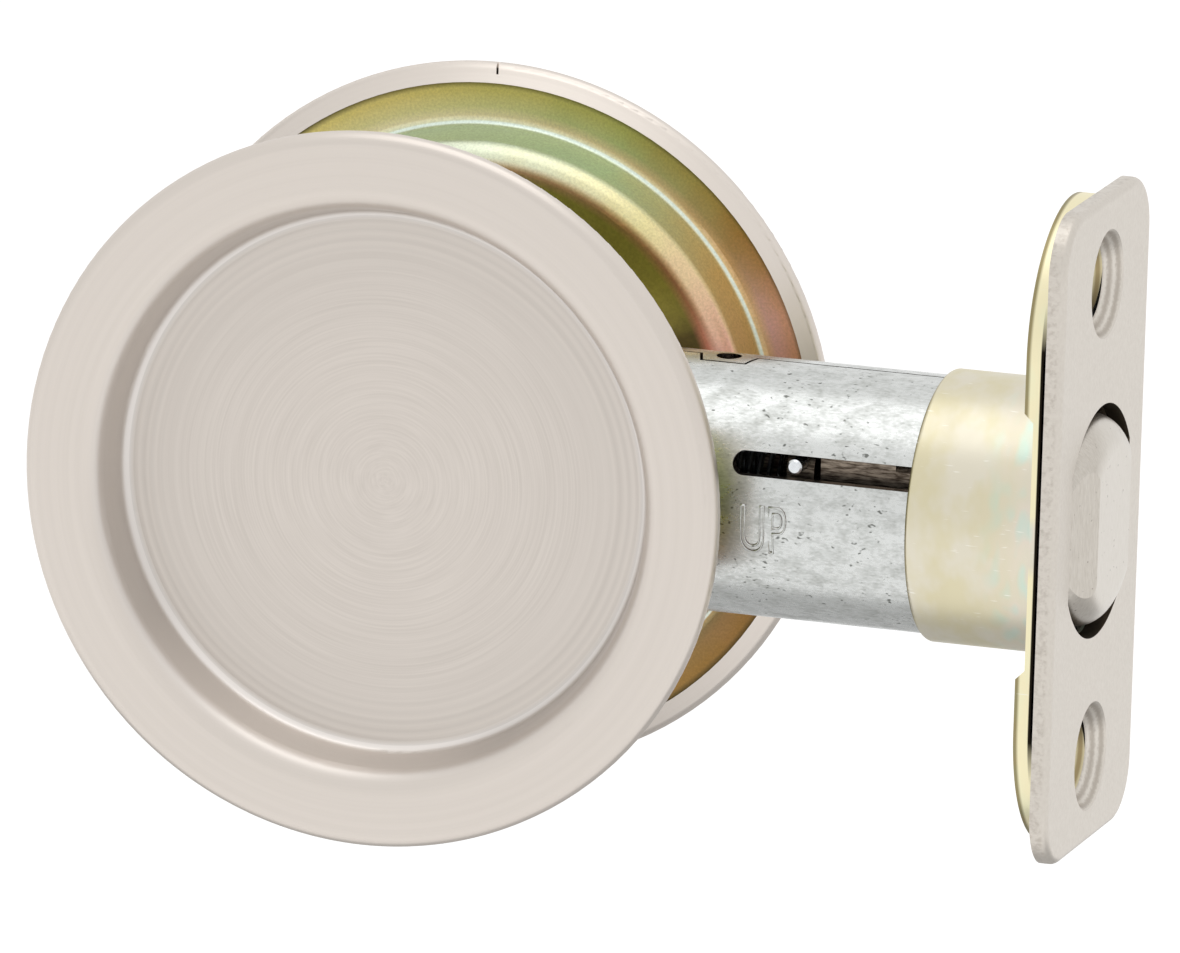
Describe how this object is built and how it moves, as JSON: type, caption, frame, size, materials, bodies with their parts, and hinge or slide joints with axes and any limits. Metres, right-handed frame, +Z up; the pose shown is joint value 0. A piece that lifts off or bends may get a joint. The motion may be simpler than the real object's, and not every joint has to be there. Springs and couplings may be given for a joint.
{
  "type": "pocket door pull",
  "caption": "Round flush finger cups clamped either side of a sliding door, joined by a tubular latch whose bevelled edge-pull bolt slides out through a rectangular faceplate.",
  "frame": {"origin": "middle of the flange's back, midway between the two screw holes, on the floor of the door edge's mortise", "axes": "+X out of the door's edge along the latch, Y across the door's thickness with the front cup at -Y, +Z up"},
  "size_m": [0.0925, 0.0338, 0.0624],
  "materials": {
    "satin_nickel": "satin nickel plate, fine turned brushing",
    "yellow_chromate": "zinc plate with iridescent yellow chromate",
    "galvanised_steel": "bright galvanised sheet, scuffed",
    "nickel_bolt": "satin nickel plate on a cast nose",
    "bright_zinc": "bright zinc plate",
    "spring_steel": "oiled spring wire"
  },
  "bodies": {
    "housing": {"front_cup_cover": "satin_nickel", "rear_cup_cover": "satin_nickel", "front_liner": "yellow_chromate", "rear_liner": "yellow_chromate", "clamp_posts": "bright_zinc", "clamp_screws": "bright_zinc", "latch_tube": "galvanised_steel", "latch_collar": "yellow_chromate", "faceplate": "satin_nickel", "bolt_spring": "spring_steel", "spring_stop": "bright_zinc", "catch_leaf": "spring_steel"},
    "plunger": {"bolt": "nickel_bolt", "guide_pin": "bright_zinc"}
  },
  "joints": [
    {"name": "bolt_slide", "type": "slide", "parent": "housing", "child": "plunger", "axis": [1, 0, 0], "range_m": [-0.0045, 0.014], "deforming": ["bolt_spring"]}
  ]
}
